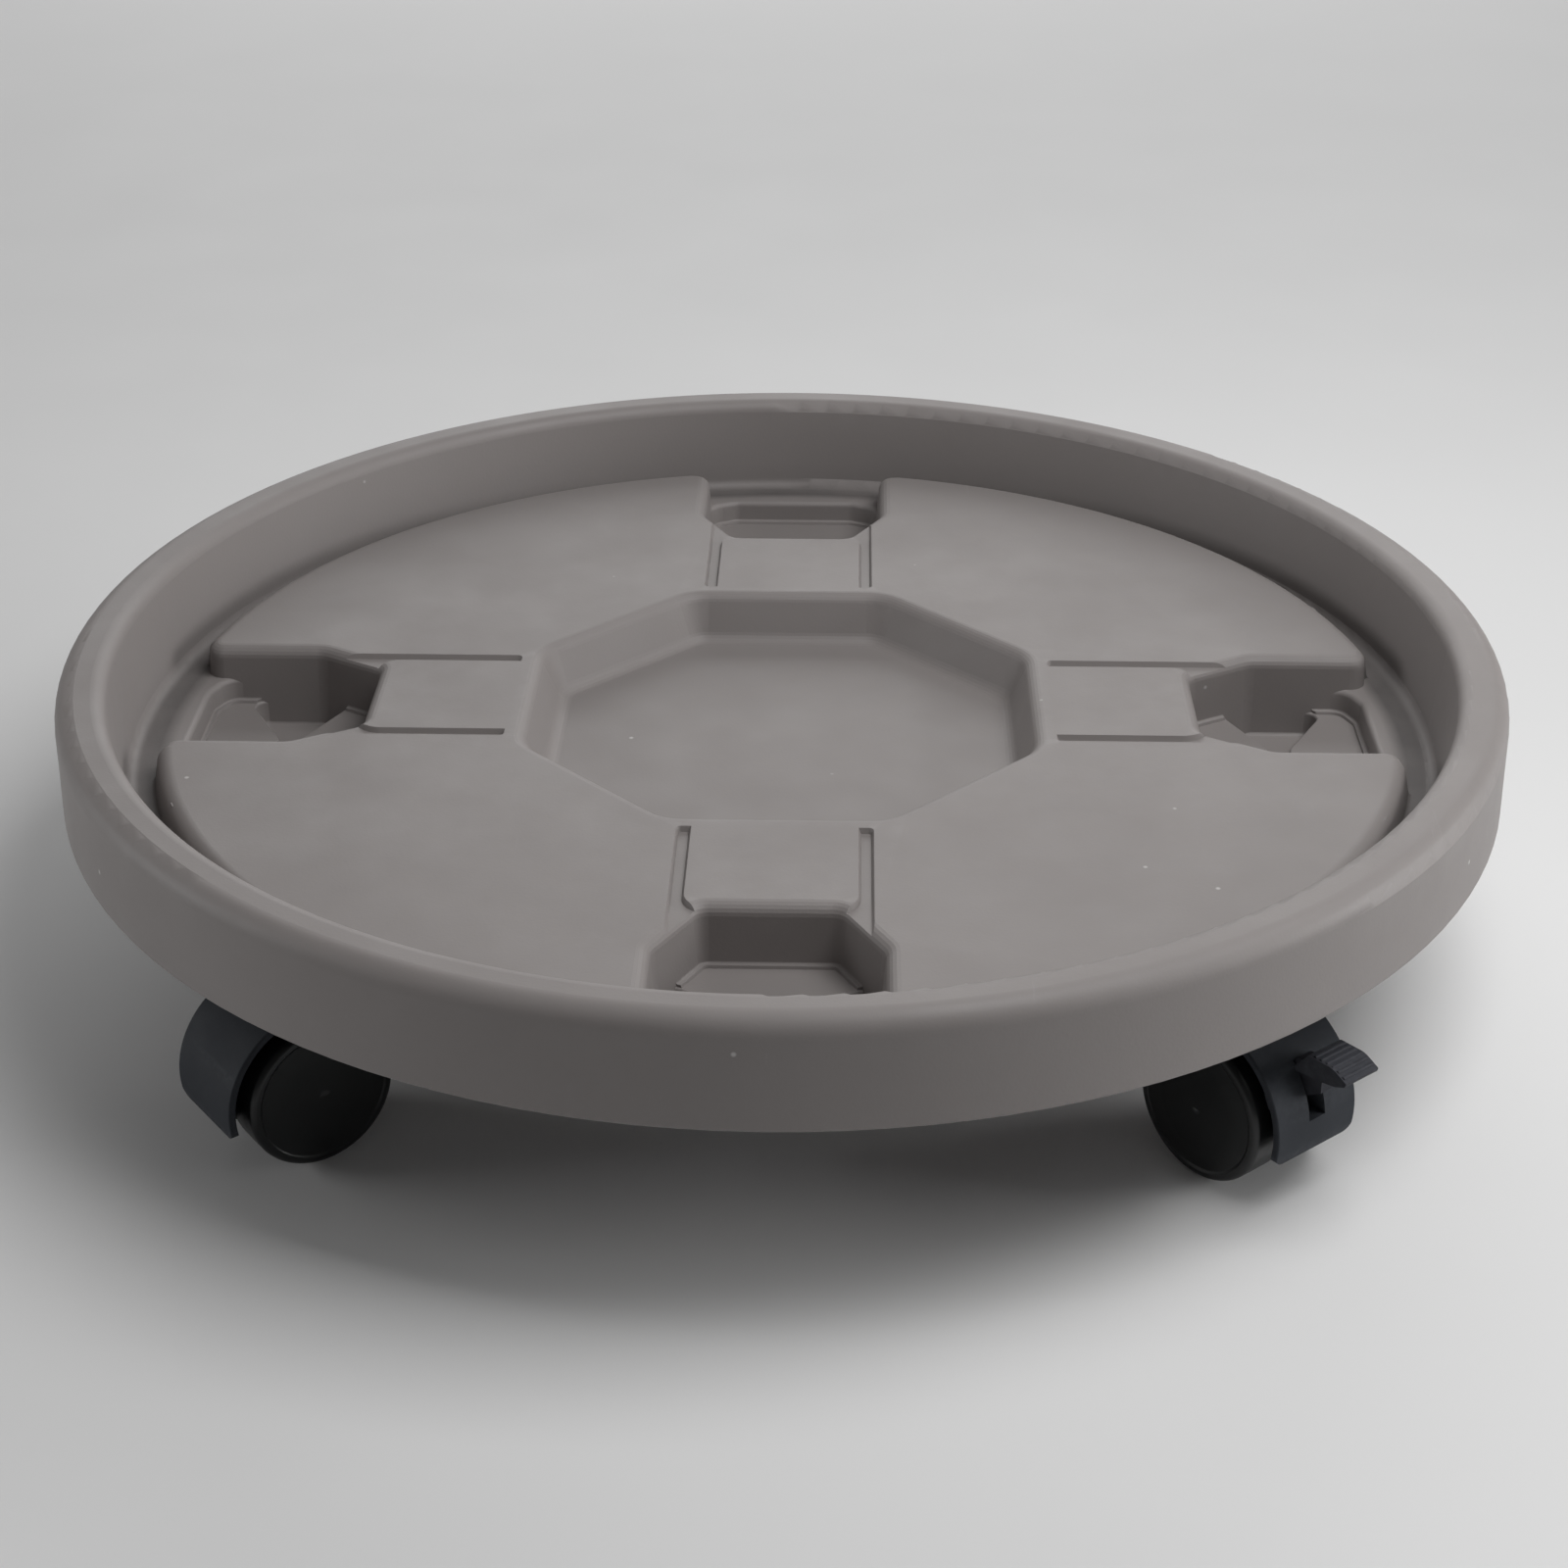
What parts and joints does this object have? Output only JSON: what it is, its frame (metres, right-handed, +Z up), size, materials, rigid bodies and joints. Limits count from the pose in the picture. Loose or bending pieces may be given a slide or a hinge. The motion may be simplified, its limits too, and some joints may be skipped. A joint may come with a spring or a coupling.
{
  "type": "plant pot caddy",
  "caption": "Round moulded plant pot caddy: rimmed tray with an octagonal recess and hand pockets, on swivelling hooded twin-wheel casters, some with a brake pedal.",
  "frame": {"origin": "on the floor under the centre of the round tray", "axes": "+Z up; the hand pockets lie on +X, +Y, -X and -Y, and the casters between them"},
  "size_m": [0.4012, 0.4012, 0.0875],
  "materials": {
    "tray_plastic": "matt moulded taupe grey plastic",
    "hood_plastic": "matt dark slate moulded plastic",
    "lever_plastic": "matt dark slate moulded plastic",
    "wheel_plastic": "semi-gloss black moulded nylon",
    "socket_nylon": "plain black nylon",
    "plated_steel": "zinc-plated steel",
    "spring_steel": "blued spring steel"
  },
  "bodies": {
    "tray": {"tray": "tray_plastic", "front_left_stem_socket": "socket_nylon", "front_left_swivel_stem": "plated_steel", "front_left_grip_ring": "spring_steel", "front_left_thrust_washer": "plated_steel", "front_right_stem_socket": "socket_nylon", "front_right_swivel_stem": "plated_steel", "front_right_grip_ring": "spring_steel", "front_right_thrust_washer": "plated_steel", "rear_left_stem_socket": "socket_nylon", "rear_left_swivel_stem": "plated_steel", "rear_left_grip_ring": "spring_steel", "rear_left_thrust_washer": "plated_steel", "rear_right_stem_socket": "socket_nylon", "rear_right_swivel_stem": "plated_steel", "rear_right_grip_ring": "spring_steel", "rear_right_thrust_washer": "plated_steel"},
    "front_left_caster": {"front_left_hood": "hood_plastic", "front_left_axle": "plated_steel"},
    "front_left_wheel_a": {"front_left_wheel_a": "wheel_plastic"},
    "front_left_wheel_b": {"front_left_wheel_b": "wheel_plastic"},
    "front_right_caster": {"front_right_hood": "hood_plastic", "front_right_axle": "plated_steel", "front_right_brake_pin": "plated_steel"},
    "front_right_wheel_a": {"front_right_wheel_a": "wheel_plastic"},
    "front_right_wheel_b": {"front_right_wheel_b": "wheel_plastic"},
    "front_right_brake": {"front_right_brake_lever": "lever_plastic"},
    "rear_left_caster": {"rear_left_hood": "hood_plastic", "rear_left_axle": "plated_steel", "rear_left_brake_pin": "plated_steel"},
    "rear_left_wheel_a": {"rear_left_wheel_a": "wheel_plastic"},
    "rear_left_wheel_b": {"rear_left_wheel_b": "wheel_plastic"},
    "rear_left_brake": {"rear_left_brake_lever": "lever_plastic"},
    "rear_right_caster": {"rear_right_hood": "hood_plastic", "rear_right_axle": "plated_steel"},
    "rear_right_wheel_a": {"rear_right_wheel_a": "wheel_plastic"},
    "rear_right_wheel_b": {"rear_right_wheel_b": "wheel_plastic"}
  },
  "joints": [
    {"name": "front_left_swivel", "type": "hinge", "parent": "tray", "child": "front_left_caster", "pos_m": [-0.10748, -0.10748, 0.02], "axis": [0, 0, 1], "continuous": true},
    {"name": "front_left_wheel_a_spin", "type": "hinge", "parent": "front_left_caster", "child": "front_left_wheel_a", "pos_m": [-0.12245, -0.11918, 0.02], "axis": [0.6157, -0.788, 0], "continuous": true},
    {"name": "front_left_wheel_b_spin", "type": "hinge", "parent": "front_left_caster", "child": "front_left_wheel_b", "pos_m": [-0.12245, -0.11918, 0.02], "axis": [0.6157, -0.788, 0], "continuous": true},
    {"name": "front_right_swivel", "type": "hinge", "parent": "tray", "child": "front_right_caster", "pos_m": [0.10748, -0.10748, 0.02], "axis": [0, 0, 1], "continuous": true},
    {"name": "front_right_wheel_a_spin", "type": "hinge", "parent": "front_right_caster", "child": "front_right_wheel_a", "pos_m": [0.11969, -0.12204, 0.02], "axis": [0.766, 0.6428, 0], "continuous": true},
    {"name": "front_right_wheel_b_spin", "type": "hinge", "parent": "front_right_caster", "child": "front_right_wheel_b", "pos_m": [0.11969, -0.12204, 0.02], "axis": [0.766, 0.6428, 0], "continuous": true},
    {"name": "front_right_brake_press", "type": "hinge", "parent": "front_right_caster", "child": "front_right_brake", "pos_m": [0.12966, -0.13391, 0.0345], "axis": [0.766, 0.6428, 0], "range_deg": [0, 8]},
    {"name": "rear_left_swivel", "type": "hinge", "parent": "tray", "child": "rear_left_caster", "pos_m": [-0.10748, 0.10748, 0.02], "axis": [0, 0, 1], "continuous": true},
    {"name": "rear_left_wheel_a_spin", "type": "hinge", "parent": "rear_left_caster", "child": "rear_left_wheel_a", "pos_m": [-0.12225, 0.11944, 0.02], "axis": [-0.6293, -0.7771, 0], "continuous": true},
    {"name": "rear_left_wheel_b_spin", "type": "hinge", "parent": "rear_left_caster", "child": "rear_left_wheel_b", "pos_m": [-0.12225, 0.11944, 0.02], "axis": [-0.6293, -0.7771, 0], "continuous": true},
    {"name": "rear_left_brake_press", "type": "hinge", "parent": "rear_left_caster", "child": "rear_left_brake", "pos_m": [-0.13429, 0.12919, 0.0345], "axis": [-0.6293, -0.7771, 0], "range_deg": [0, 8]},
    {"name": "rear_right_swivel", "type": "hinge", "parent": "tray", "child": "rear_right_caster", "pos_m": [0.10748, 0.10748, 0.02], "axis": [0, 0, 1], "continuous": true},
    {"name": "rear_right_wheel_a_spin", "type": "hinge", "parent": "rear_right_caster", "child": "rear_right_wheel_a", "pos_m": [0.12245, 0.11918, 0.02], "axis": [-0.6157, 0.788, 0], "continuous": true},
    {"name": "rear_right_wheel_b_spin", "type": "hinge", "parent": "rear_right_caster", "child": "rear_right_wheel_b", "pos_m": [0.12245, 0.11918, 0.02], "axis": [-0.6157, 0.788, 0], "continuous": true}
  ]
}
